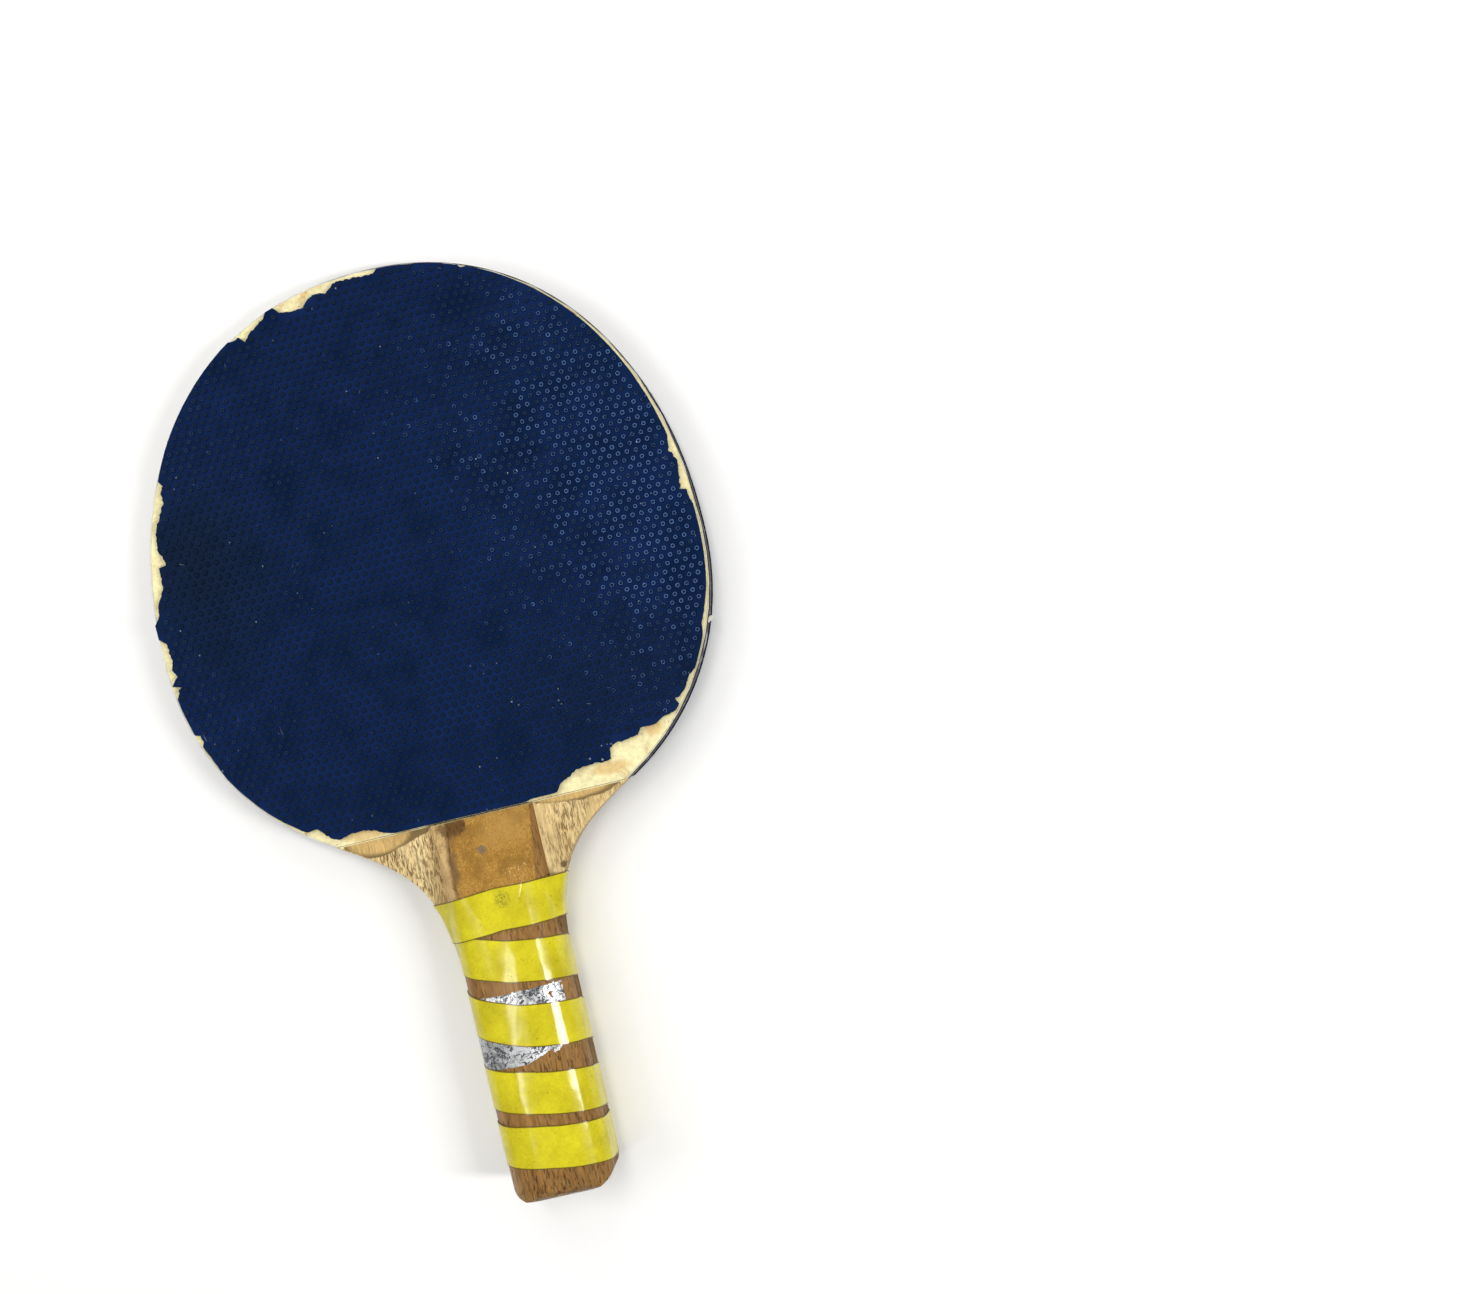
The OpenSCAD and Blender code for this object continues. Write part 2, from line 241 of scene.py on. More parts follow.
def grip_place(angle):
    """Roughly where a direction meets the handle's section, so that noise runs round it."""
    return 15 * math.cos(angle), 12 * math.sin(angle)


# ---------------------------------------------------------------- modelling

def object_mode():
    if bpy.context.object and bpy.context.object.mode != "OBJECT":
        bpy.ops.object.mode_set(mode="OBJECT")


def choose(*objects):
    """Selects only these, the last one active."""
    object_mode()
    bpy.ops.object.select_all(action="DESELECT")
    for o in objects:
        o.select_set(True)
        bpy.context.view_layer.objects.active = o


def named(name):
    """The object that an operator has just added, with its name and its mesh's."""
    made = bpy.context.object
    made.name = made.data.name = name
    return made


def edit(piece):
    """Opens a piece in edit mode with all of it selected."""
    choose(piece)
    bpy.ops.object.mode_set(mode="EDIT")
    bpy.ops.mesh.select_mode(type="FACE")
    bpy.ops.mesh.select_all(action="SELECT")


def tear_off(piece, gone):
    """Deletes the faces for which gone(face) is true."""
    edit(piece)
    bpy.ops.mesh.select_all(action="DESELECT")
    shape = bmesh.from_edit_mesh(piece.data)
    for face in shape.faces:
        face.select_set(bool(gone(face)))
    bmesh.update_edit_mesh(piece.data)
    bpy.ops.mesh.delete(type="FACE")
    object_mode()


def settle(piece, angle):
    """Leaves a piece in object mode with normals outward, shaded smooth up to an angle."""
    edit(piece)
    bpy.ops.mesh.normals_make_consistent(inside=False)
    object_mode()
    bpy.ops.object.shade_smooth_by_angle(angle=math.radians(angle))
    return piece


def apply(piece, kind, **settings):
    """Adds a modifier and applies it."""
    choose(piece)
    modifier = piece.modifiers.new(kind.title(), kind)
    for key, value in settings.items():
        setattr(modifier, key, value)
    bpy.ops.object.modifier_apply(modifier=modifier.name)


def flat_piece(name, rim, low, high):
    """A plate with an irregular outline: a filled circle whose corners are moved to the rim, then extruded."""
    choose()
    bpy.ops.mesh.primitive_circle_add(vertices=len(rim), radius=HEAD_W / 2 * MM, fill_type="NGON")
    piece = named(name)
    for v, (x, y) in zip(piece.data.vertices, rim):
        v.co = Vector((x, y, low)) * MM
    edit(piece)
    bpy.ops.mesh.extrude_region_move(TRANSFORM_OT_translate={"value": (0, 0, (high - low) * MM)})
    return settle(piece, 30)


def head_points(radius, count):
    """Points round the head's middle at radius(angle)."""
    angles = [math.radians(-180 + 360 * i / count) for i in range(count)]
    return [(radius(a) * math.sin(a), HEAD_Y + radius(a) * math.cos(a)) for a in angles]


def strip(name, steps, across, place):
    """A bent strip without thickness: a flat grid whose corners go to place(u, v)."""
    choose()
    bpy.ops.mesh.primitive_grid_add(x_subdivisions=steps, y_subdivisions=across, size=1, calc_uvs=True)
    piece = named(name)
    for v in piece.data.vertices:
        v.co = place(v.co.x + 0.5, v.co.y + 0.5)
    return piece


def thicken(piece, thickness, even=True):
    """Turns a bent strip's faces away from the handle and gives it its thickness."""
    middle = piece.data.polygons[len(piece.data.polygons) // 2]
    if middle.normal.x * middle.center.x + middle.normal.z * middle.center.z < 0:
        edit(piece)
        bpy.ops.mesh.flip_normals()
    apply(piece, "SOLIDIFY", thickness=thickness * MM, offset=1.0, use_even_offset=even)
    bpy.ops.object.shade_smooth_by_angle(angle=math.radians(50))


def refined(node, name, width, angle=30):
    """A copy of a CAD node with its corners merged and its edges slightly rounded."""
    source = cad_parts[node]
    choose()
    copy = source.copy()
    copy.data = source.data.copy()
    copy.parent = None
    for key in list(copy.keys()):
        if key.startswith("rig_"):
            del copy[key]
    bpy.context.scene.collection.objects.link(copy)
    copy.name = copy.data.name = name
    edit(copy)
    bpy.ops.mesh.remove_doubles(threshold=1e-6)
    bpy.ops.mesh.dissolve_limited(angle_limit=math.radians(0.5))
    object_mode()
    if copy.data.has_custom_normals:
        bpy.ops.mesh.customdata_custom_splitnormals_clear()
    apply(copy, "BEVEL", width=width * MM, segments=2, limit_method="ANGLE", angle_limit=math.radians(angle),
          use_clamp_overlap=True)
    bpy.ops.object.shade_smooth_by_angle(angle=math.radians(45))
    copy.data.materials.clear()
    return copy


def hand_over(piece, look, slot, node):
    """Gives a finished piece its material and its place on the paddle, and hides the CAD node it stands for."""
    choose(piece)
    piece.data.materials.clear()
    piece.data.materials.append(look)
    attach(piece, "root")
    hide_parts(node)


# ---------------------------------------------------------------- materials

class Look:
    """A material under construction. Patterns are sized in millimetres on Object coordinates."""

    def __init__(self, name, **sockets):
        self.material = bpy.data.materials.new(name)
        self.material.use_nodes = True
        self.nodes, self.links = self.material.node_tree.nodes, self.material.node_tree.links
        self.shader = self.nodes["Principled BSDF"]
        self.place = self.add("ShaderNodeTexCoord").outputs["Object"]
        self.colour = self.split = self.bumps = None
        for socket, value in sockets.items():
            self.shader.inputs[socket.replace("_", " ")].default_value = value

    def add(self, kind, **settings):
        made = self.nodes.new(kind)
        for key, value in settings.items():
            setattr(made, key, value)
        return made

    def put(self, socket, value):
        if isinstance(value, bpy.types.NodeSocket):
            self.links.new(value, socket)
        elif value is not None:
            socket.default_value = value

    def stored(self, name):
        """A number stored on the mesh's corners."""
        return self.add("ShaderNodeAttribute", attribute_name=name).outputs["Fac"]

    def stretched(self, x, y, z, turn=0.0):
        """Coordinates stretched along the axes, so that a pattern runs that many times longer there."""
        place = self.place
        if turn:
            turned = self.add("ShaderNodeMapping")
            self.links.new(place, turned.inputs["Vector"])
            turned.inputs["Rotation"].default_value = (0, 0, turn)
            place = turned.outputs["Vector"]
        mapping = self.add("ShaderNodeMapping")
        self.links.new(place, mapping.inputs["Vector"])
        mapping.inputs["Scale"].default_value = (1 / x, 1 / y, 1 / z)
        return mapping.outputs["Vector"]

    def noise(self, size, detail=3.0, roughness=0.6, place=None, distortion=0.0, seed=0.0):
        made = self.add("ShaderNodeTexNoise", noise_dimensions="4D")
        self.links.new(place or self.place, made.inputs["Vector"])
        for socket, value in (("W", seed), ("Scale", 1 / (size * MM)), ("Detail", detail), ("Roughness", roughness),
                              ("Distortion", distortion)):
            made.inputs[socket].default_value = value
        return made.outputs["Fac"]

    def cells(self, size):
        """Distance from scattered points about size millimetres apart."""
        made = self.add("ShaderNodeTexVoronoi")
        self.links.new(self.place, made.inputs["Vector"])
        made.inputs["Scale"].default_value = 1 / (size * MM)
        return made.outputs["Distance"]

    def ramp(self, value, *stops):
        """A value from 0 to 1 turned into grey levels or colours at the stops."""
        made = self.add("ShaderNodeValToRGB")
        self.links.new(value, made.inputs["Fac"])
        elements = made.color_ramp.elements
        while len(elements) < len(stops):
            elements.new(0.5)
        for element, (position, colour) in zip(elements, stops):
            element.position = position
            element.color = colour if hasattr(colour, "__len__") else (colour, colour, colour, 1)
        return made.outputs["Color"]

    def step(self, value, low, high):
        """0 below low, 1 above high, smooth between. A low above the high turns it round."""
        made = self.add("ShaderNodeMapRange", interpolation_type="SMOOTHSTEP")
        self.links.new(value, made.inputs["Value"])
        made.inputs["From Min"].default_value, made.inputs["From Max"].default_value = min(low, high), max(low, high)
        if low >= high:
            made.inputs["To Min"].default_value, made.inputs["To Max"].default_value = 1, 0
        return made.outputs["Result"]

    def patches(self, low, high, *grain, **settings):
        """Noise sharpened into patches: 0 where it is below low, 1 above high."""
        return self.step(self.noise(*grain, **settings), low, high)

    def math(self, operation, a, b=None):
        made = self.add("ShaderNodeMath", operation=operation)
        self.put(made.inputs[0], a)
        self.put(made.inputs[1], b)
        return made.outputs["Value"]

    def times(self, *values):
        result = values[0]
        for value in values[1:]:
            result = self.math("MULTIPLY", result, value)
        return result

    def mix(self, share, a, b, blend="MIX"):
        made = self.add("ShaderNodeMix", data_type="RGBA", blend_type=blend)
        self.put(made.inputs["Factor"], share)
        self.put(made.inputs[6], a)
        self.put(made.inputs[7], b)
        return made.outputs[2]

    def paint(self, tint, *shares, blend="MIX"):
        """Lays a tint over the colour so far, where and as far as the shares' product says."""
        self.colour = self.mix(self.times(*shares), self.colour, tint, blend)

    def axis(self, letter):
        """One Object coordinate, in millimetres."""
        if self.split is None:
            self.split = self.add("ShaderNodeSeparateXYZ")
            self.links.new(self.place, self.split.inputs["Vector"])
        return self.math("MULTIPLY", self.split.outputs[letter], 1 / MM)

    def spot(self, x, y, half_w, half_h, inner, outer, wander, size=9.0):
        """1 in the middle of a blurred oval on the paddle's face, 0 outside it."""
        dx = self.math("DIVIDE", self.math("SUBTRACT", self.axis("X"), x), half_w)
        dy = self.math("DIVIDE", self.math("SUBTRACT", self.axis("Y"), y), half_h)
        far = self.math("SQRT", self.math("ADD", self.times(dx, dx), self.times(dy, dy)))
        blur = self.times(self.math("SUBTRACT", self.noise(size, seed=x), 0.5), wander * 4)
        return self.step(self.math("ADD", far, blur), outer, inner)

    def relief(self, height, depth, strength):
        """Adds bumps of that depth in millimetres."""
        made = self.add("ShaderNodeBump")
        self.put(made.inputs["Height"], height)
        self.put(made.inputs["Distance"], depth * MM)
        self.put(made.inputs["Strength"], strength)
        self.put(made.inputs["Normal"], self.bumps)
        self.bumps = made.outputs["Normal"]

    def done(self, roughness, metallic=None):
        for socket, value in (("Base Color", self.colour), ("Roughness", roughness), ("Metallic", metallic),
                              ("Normal", self.bumps)):
            self.put(self.shader.inputs[socket], value)
        return self.material


def shade(colour, factor):
    return (*[c * factor for c in colour[:3]], 1)


def grey(level):
    return (level, level, level, 1)


def rubber_look(name, tints, top_z, web_z, smudged):
    """Dull moulded rubber: dark pimples with polished lips, dust, scratches and an old dirty smudge."""
    look = Look(name, Specular_IOR_Level=0.0)
    lip = look.stored("lip")
    look.colour = look.ramp(look.noise(34, 4), (0.3, tints.rubber), (0.7, tints.rubber_deep))
    look.paint(look.ramp(look.noise(2.6, 3, 0.7), (0.25, 0.72), (0.75, 1.3)), 0.7, blend="MULTIPLY")
    height = look.math("ABSOLUTE", look.axis("Z"))
    look.paint(shade(tints.rubber, 0.45), look.step(height, web_z + 0.12, top_z - 0.18), 0.55)
    look.paint(shade(tints.rubber, 1.7), look.step(height, web_z + 0.1, web_z), look.patches(0.25, 0.7, 11, seed=3))
    look.paint(tints.rubbed, lip)
    if smudged:
        for x, y, half_w, half_h, share in SMUDGES:
            look.paint(tints.smudge, look.spot(x, y, half_w, half_h, 0.1, 1.25, 0.2, 16), share)
        look.paint(tints.dust, look.spot(37, -16, 6.5, 2.6, 0.6, 1.0, 0.1), look.step(look.cells(1.5), 0.24, 0.14), 0.9)
    look.paint(tints.dust, look.step(look.cells(2.9), 0.1, 0.04), look.patches(0.54, 0.62, 8, seed=5), 0.6)
    for turn, seed in ((0.4, 8), (-1.0, 9), (1.4, 10)):
        scratch = look.patches(0.735, 0.76, 0.8, 2, 0.5, look.stretched(9, 0.5, 1, turn), 0.8, seed)
        look.paint(tints.dust, scratch, look.patches(0.56, 0.62, 15, 2, 0.5, seed=seed + 9), 0.35)
    look.relief(look.noise(0.35, 3, 0.7), 0.02, 0.4)
    look.relief(look.noise(1.6, seed=2), 0.06, 0.6)
    roughness = look.ramp(look.noise(6, seed=4), (0.3, 0.4), (0.7, 0.58))
    return look.done(look.mix(lip, roughness, grey(0.17)), look.times(lip, 0.45))


def wood_look(name, light, dark, pore, pore_size, pore_run, broad=7, coat=0.0, pores=0.6, open_from=0.5):
    """Wood with its grain along the paddle: broad bands, fine lines and short open pores full of dirt."""
    look = Look(name, Coat_Weight=coat, Coat_Roughness=0.14, Specular_IOR_Level=0.1)
    bands = look.noise(broad, 4, 0.6, look.stretched(1, 12, 1), 0.9, 1)
    look.colour = look.ramp(bands, (0.3, light), (0.72, dark))
    lines = look.noise(0.7, 4, 0.65, look.stretched(1, 22, 1), 0.4, 2)
    look.paint(look.ramp(lines, (0.3, 0.5), (0.7, 1.32)), 0.6, blend="MULTIPLY")
    flecks = look.noise(1.1, 3, 0.7, look.stretched(1, 4, 1), 0.8, 6)
    look.paint(look.ramp(flecks, (0.35, 0.6), (0.65, 1.25)), 0.4, blend="MULTIPLY")
    short = look.patches(open_from, open_from + 0.1, pore_size, 3, 0.6, look.stretched(1, pore_run, 1), 0.5, 3)
    holes = look.times(short, look.patches(0.3, 0.58, 7, place=look.stretched(1, 2.5, 1), seed=4))
    look.paint(pore, holes, pores)
    look.relief(look.math("SUBTRACT", 1.0, holes), 0.2, 0.9)
    look.relief(lines, 0.08, 0.7)
    return look


# ---------------------------------------------------------------- sizes and colours a user would change

def length(name, text, default, low=0.0, high=10.0):
    return FloatProperty(name=name, description=text, default=default * MM, min=low * MM, max=high * MM,
                         unit="LENGTH", precision=5)


def tint(name, text, default):
    return FloatVectorProperty(name=name, description=text, default=(*default, 1.0), size=4, min=0, max=1,
                               subtype="COLOR")


class PaddleSheetSizes(bpy.types.PropertyGroup):
    pitch: length("Pimple spacing", "Distance between neighbouring pimples", 2.41, 1.5, 4)
    foot: length("Pimple foot", "Width of a pimple where it leaves the sheet", 1.62, 1, 3)
    head: length("Pimple head", "Width of a pimple's top", 1.22, 0.8, 2.5)
    lip: length("Pimple lip", "Width of the polished lip round a pimple's top", 0.2, 0.05, 0.4)
    cup: length("Pimple hollow", "Depth of the worn hollow in a pimple's top", 0.13, 0, 0.3)
    web: length("Sheet base", "Thickness of the sheet between the pimples", 1.36, 0.4, 1.5)
    clear: length("Bare edge", "Distance from the sheet's edge to the nearest pimple's middle", 0.75, 0.3, 2)
    corners: IntProperty(name="Rim corners", description="Corners round a sheet's outline", default=1440, min=360,
                         max=2880)
    sides: IntProperty(name="Pimple sides", description="Sides of each pimple", default=7, min=6, max=8)


class PaddleTapeSizes(bpy.types.PropertyGroup):
    width: length("Tape width", "Width of the stretched tape", 11.2, 8, 14)
    thickness: length("Tape thickness", "Thickness of the tape", 0.18, 0.1, 0.4)
    gap: length("Tape clearance", "Air between the handle and the tape", 0.07, 0.05, 0.4)
    ripple: length("Tape ripple", "Height of the tape's small ripples", 0.03, 0, 0.2)
    steps: IntProperty(name="Steps", description="Steps in each turn of the tape", default=150, min=60, max=300)
    across: IntProperty(name="Lanes", description="Lanes of faces across the tape", default=12, min=4, max=30)


class PaddleTints(bpy.types.PropertyGroup):
    rubber: tint("Rubber", "Navy of the sheets", (0.0042, 0.0116, 0.0460))
    rubber_deep: tint("Greener rubber", "Navy of the sheets where it leans to green", (0.0036, 0.0126, 0.0390))
    rubbed: tint("Rubbed rubber", "Mirror colour of the pimple tops that play has polished", (0.015, 0.030, 0.070))
    smudge: tint("Smudge", "Charcoal dirt on the sheet", (0.0075, 0.0150, 0.0360))
    dust: tint("Dust", "Dust specks and scratches", (0.42, 0.47, 0.55))
    ply_light: tint("Pale ply", "Outer ply, light wood", (0.90, 0.71, 0.37))
    ply_dark: tint("Darker ply", "Outer ply, darker bands", (0.70, 0.48, 0.20))
    ply_pore: tint("Ply pores", "Dirt in the outer ply's pores", (0.150, 0.075, 0.020))
    scale_light: tint("Scale light", "Handle scale, light wood", (0.40, 0.215, 0.068))
    scale_dark: tint("Scale dark", "Handle scale, dark wood", (0.22, 0.105, 0.028))
    scale_pore: tint("Scale pores", "Pores and dirt of the handle scale", (0.055, 0.024, 0.007))
    # Painted light: the scale's left side drawn paler where the light falls on it.
    lit_flank: tint("Worn flank", "Pale wood of the scale's worn left flank", (0.66, 0.46, 0.20))
    cream: tint("Dry glue", "Cream glue and torn backing", (0.90, 0.81, 0.46))
    tan: tint("Bare patch", "Tan wood and stained glue", (0.70, 0.48, 0.19))
    gold: tint("Glue smear", "Golden varnish-like smear below the sheet", (0.56, 0.375, 0.14))
    butt_dirt: tint("Butt dirt", "Greenish dirt on the scales' ends", (0.30, 0.22, 0.09))
    binding: tint("Edge binding", "Off-white binding strip", (0.72, 0.71, 0.62))
    # Besides real dirt, this tint paints shade: a shadow line below the front sheet's cut edge and shade on the
    # binding's outer right side.
    grime_and_shade: tint("Grime", "Dirt in corners and on the binding", (0.10, 0.08, 0.055))
    tape: tint("Tape", "Yellow of the tape", (0.72, 0.635, 0.018))
    tape_shade: tint("Aged tape", "Greener, dirtier yellow of the tape", (0.50, 0.42, 0.010))
    tape_scuff: tint("Tape scuff", "Dark scuffed patch on the tape's first turn", (0.16, 0.15, 0.02))
    # Dirt and painted shade together: a dark line along the tape's edges.
    tape_edge_dirt_and_shade: tint("Tape edge", "Dirt caught along the tape's edges", (0.10, 0.06, 0.012))
    foil: tint("Foil", "Silver of the foil", (0.90, 0.91, 0.93))
    foil_dark: tint("Foil cracks", "Dark blots and folds of the foil", (0.02, 0.022, 0.03))
    decal: tint("Decal paper", "Orange-brown of the paper left on the ramp", (0.405, 0.205, 0.033))
    decal_pale: tint("Worn decal paper", "Paler fibres of that paper", (0.55, 0.325, 0.085))
    decal_spot: tint("Decal spot", "Grey spot on that paper", (0.16, 0.12, 0.10))
    decal_edge: tint("Decal edge", "Dirt along that paper's left edge", (0.13, 0.08, 0.045))
    decal_flake: tint("Decal flakes", "Pale flaked places near that paper's foot", (0.85, 0.75, 0.5))


class PaddleStage(bpy.types.PropertyGroup):
    lens: FloatProperty(name="Lens", description="Focal length on a 36 mm wide sensor, in millimetres",
                        default=36.986, min=10, max=200)
    key: FloatProperty(name="Soft lights", description="Mean power of the four large soft lights round the paddle",
                       default=4.05, min=0, unit="POWER")
    glint: FloatProperty(name="Glint lights", description="Power of each strip that draws a streak on the tape",
                         default=2.4, min=0, unit="POWER")
    sheen: FloatProperty(name="Sheen light", description="Power of the light that the pimples' polished tops mirror",
                         default=1.25, min=0, unit="POWER")
    sky: FloatProperty(name="Surroundings", description="Brightness of the white surroundings", default=0.16, min=0)


# ---------------------------------------------------------------- operators, one for each piece or group of pieces

class BuildingStep:
    """What the steps share."""
    bl_options = {"REGISTER", "UNDO"}


class PADDLE_OT_plies(BuildingStep, bpy.types.Operator):
    """Finish the five plies of the blade in their woods"""
    bl_idname = "paddle.plies"
    bl_label = "Plies"

    def darker_along_handle(self, look, tints, roughness):
        """Finishes a wood, drawn darker along the handle."""
        look.paint(shade(tints.scale_dark, 0.7), look.step(look.axis("Y"), -46, -54), 0.85)
        return look.done(roughness)

    def execute(self, context):
        tints = context.scene.paddle_tints
        look = wood_look("pale_ply_wood", tints.ply_light, tints.ply_dark, tints.ply_pore, 0.4, 5.5, pores=0.86,
                         coat=0.06, open_from=0.485)
        look.paint(shade(tints.ply_pore, 0.5), look.spot(18.6, -41.8, 1.6, 1.3, 0.4, 1, 0.3, 1.2), 0.85)
        handled = look.math("MAXIMUM", look.spot(19, -36, 3, 7, 0.1, 1.2, 0.3, 3),
                            look.spot(-17, -40, 3, 9, 0.1, 1.2, 0.3, 3))
        look.paint(shade(tints.ply_dark, 0.55), handled, 0.4)
        pale = self.darker_along_handle(look, tints, look.ramp(look.noise(3, seed=15), (0.3, 0.38), (0.7, 0.62)))
        look = wood_look("cross_ply_wood", shade(tints.ply_dark, 0.75), shade(tints.ply_dark, 0.5), tints.ply_pore,
                         0.3, 1.5)
        cross = self.darker_along_handle(look, tints, 0.7)
        look = wood_look("core_wood", shade(tints.ply_light, 0.9), shade(tints.ply_dark, 0.9), tints.ply_pore, 0.4, 9)
        core = self.darker_along_handle(look, tints, 0.65)
        for node, name, wood, slot in (
                ("core_ply", "blade_core", core, "core_wood"),
                ("front_cross_ply", "blade_front_cross", cross, "cross_ply"),
                ("rear_cross_ply", "blade_rear_cross", cross, "cross_ply"),
                ("front_face_ply", "blade_front_ply", pale, "pale_ply"),
                ("rear_face_ply", "blade_rear_ply", pale, "pale_ply")):
            hand_over(refined(node, name, 0.12), wood, slot, node)
        return {"FINISHED"}


class PADDLE_OT_binding(BuildingStep, bpy.types.Operator):
    """Build the off-white strip glued round the blade's edge, with its frayed end"""
    bl_idname = "paddle.binding"
    bl_label = "Edge binding"

    def fray(self, binding):
        """Adds the few fibres that stand out where the binding's end has come loose."""
        draw = np.random.default_rng(5)
        angle = math.atan2(FRAY_X, FRAY_Y - HEAD_Y)
        rim = rim_radius(angle)
        root = Vector((rim * math.sin(angle), HEAD_Y + rim * math.cos(angle), FACE_Z - 0.9)) * MM
        fibres = []
        for _ in range(FIBRES):
            way = Vector((1.0, draw.uniform(-0.8, 0.8), draw.uniform(-0.2, 0.6))).normalized()
            long, thick = draw.uniform(1.2, 2.2), draw.uniform(0.4, 0.6)
            choose()
            bpy.ops.mesh.primitive_cone_add(vertices=6, radius1=thick * MM, radius2=0.4 * thick * MM, depth=long * MM)
            fibre = named("fibre")
            edit(fibre)
            bpy.ops.mesh.subdivide(number_cuts=1)
            object_mode()
            seat = Matrix.Translation(root + way * (0.5 * long - 0.3) * MM + Vector((0, draw.normal(0, 0.25), 0)) * MM)
            fibre.data.transform(seat @ way.to_track_quat("Z", "Y").to_matrix().to_4x4())
            fibres.append(fibre)
        choose(*fibres, binding)
        bpy.ops.object.join()

    def execute(self, context):
        tints = context.scene.paddle_tints
        binding = refined("edge_band", "edge_binding", 0.1)
        outer = binding.data.attributes.new("outer", "FLOAT", "POINT")
        for v, share in zip(binding.data.vertices, outer.data):
            x, y = v.co.x / MM, v.co.y / MM - HEAD_Y
            share.value = float(math.hypot(x, y) > rim_radius(math.atan2(x, y)) - 0.25)
        self.fray(binding)
        look = Look("binding_strip", Specular_IOR_Level=0.15)
        look.colour = look.ramp(look.noise(6, 4, 0.65, seed=2), (0.3, shade(tints.binding, 1.1)),
                                (0.75, shade(tints.binding, 0.7)))
        look.paint(tints.grime_and_shade, look.patches(0.55, 0.72, 1.6, 4, 0.7, seed=7), 0.6)
        # Painted shade mixed with dirt: the binding's outer side is darkened on the right half, most in the corners
        # under the sheets and in blotches.
        corner = look.step(look.math("ABSOLUTE", look.axis("Z")), FACE_Z - 1.1, FACE_Z - 0.3)
        blots = look.patches(0.3, 0.46, 3.5, 4, 0.65, seed=9)
        look.paint(shade(tints.grime_and_shade, 0.2), look.step(look.stored("outer"), 0.78, 0.9),
                   look.step(look.axis("X"), -20, 20), look.math("MAXIMUM", corner, blots), 0.97)
        look.relief(look.noise(0.5), 0.06, 0.7)
        hand_over(binding, look.done(0.6), "edge_binding", "edge_band")
        return {"FINISHED"}


class PADDLE_OT_glue(BuildingStep, bpy.types.Operator):
    """Build the dried glue under both sheets, with the smears below them on the neck"""
    bl_idname = "paddle.glue"
    bl_label = "Dried glue"

    def film_radius(self, angle, front):
        """Distance from the head's middle to the glue's edge, smears included."""
        r = rim_radius(angle) - 0.55
        if math.cos(angle) >= 0:
            return r
        cut = CUT_DROP / -math.cos(angle)
        if r <= cut:
            return r
        x = cut * math.sin(angle) if front else -cut * math.sin(angle)
        drop = max(along(SMEAR, x) + 0.35 * rough(x, 5, 0, 4) + 0.25 * rough(x, 9, 0, 1.2), 0.3)
        if abs(x) < HANDLE_W / 2 + 0.6:
            drop = 0
        reach = cut + drop / -math.cos(angle)
        while reach > cut and abs(reach * math.sin(angle)) > plan_half_w(HEAD_Y + reach * math.cos(angle)) - 0.5:
            reach -= 0.05
        return reach

    def execute(self, context):
        tints = context.scene.paddle_tints
        look = Look("dried_glue", Specular_IOR_Level=0.12)
        blotch = look.noise(6, 5, 0.62, seed=4, distortion=0.8)
        look.colour = look.ramp(blotch, (0.36, shade(tints.cream, 1.08)), (0.56, shade(tints.cream, 0.88)),
                                (0.66, tints.tan), (0.8, shade(tints.tan, 0.85)))
        for place in GLUE_STAINS:
            look.paint(tints.tan, look.spot(*place, 0.5, 1.1, 0.2, 3), 0.75)
        look.paint(tints.cream, look.step(look.axis("X"), 54, 60), look.step(look.axis("Y"), -2, 6), 0.85)
        crumbs = look.step(look.cells(1.3), 0.2, 0.1)
        look.paint(shade(tints.tan, 0.3), crumbs, look.patches(0.45, 0.6, 3, 2, 0.5, seed=12), 0.6)
        torn = look.noise(1.1, 4, 0.7, seed=9, distortion=0.5)
        look.paint(look.ramp(torn, (0.3, 0.7), (0.62, 1.12)), 0.6, blend="MULTIPLY")
        smear = look.times(look.step(look.axis("Y"), CUT_Y - 0.28, CUT_Y - 0.42),
                           look.step(look.math("ABSOLUTE", look.axis("X")), 38.6, 37.8))
        grain = look.noise(0.5, 3, 0.6, look.stretched(1, 7, 1), 0.3, 5)
        golden = look.ramp(grain, (0.35, shade(tints.gold, 1.25)), (0.65, shade(tints.gold, 0.75)))
        middle = look.math("MAXIMUM", look.spot(-28.5, CUT_Y, 10, 5.0, 0.72, 0.98, 0.03, 2),
                           look.spot(25, CUT_Y, 12.5, 2.5, 0.6, 0.98, 0.03, 2))
        golden = look.mix(look.math("SUBTRACT", 1.0, middle), golden, shade(tints.gold, 0.36))
        look.paint(golden, smear)
        # Painted shadow: a thin dark line just below the front sheet's cut edge.
        look.paint(shade(tints.grime_and_shade, 0.5), look.step(look.axis("Y"), CUT_Y + 0.02, CUT_Y - 0.02),
                   look.step(look.axis("Y"), CUT_Y - 0.2, CUT_Y - 0.14), 0.8)
        look.relief(look.noise(1.4, 4, 0.65, seed=3), 0.25, 0.8)
        look.relief(torn, 0.2, 0.7)
        glue = look.done(look.mix(smear, look.ramp(blotch, (0.3, 0.75), (0.8, 0.55)), grey(0.36)))
        for name, node, front, low, high in (
                ("front_glue", "front_glue_film", True, FACE_Z, GLUE_Z),
                ("rear_glue", "rear_glue_film", False, -GLUE_Z, -FACE_Z)):
            rim = head_points(lambda a, front=front: self.film_radius(a, front), 960)
            hand_over(flat_piece(name, rim, low, high), glue, "dried_glue", node)
        return {"FINISHED"}


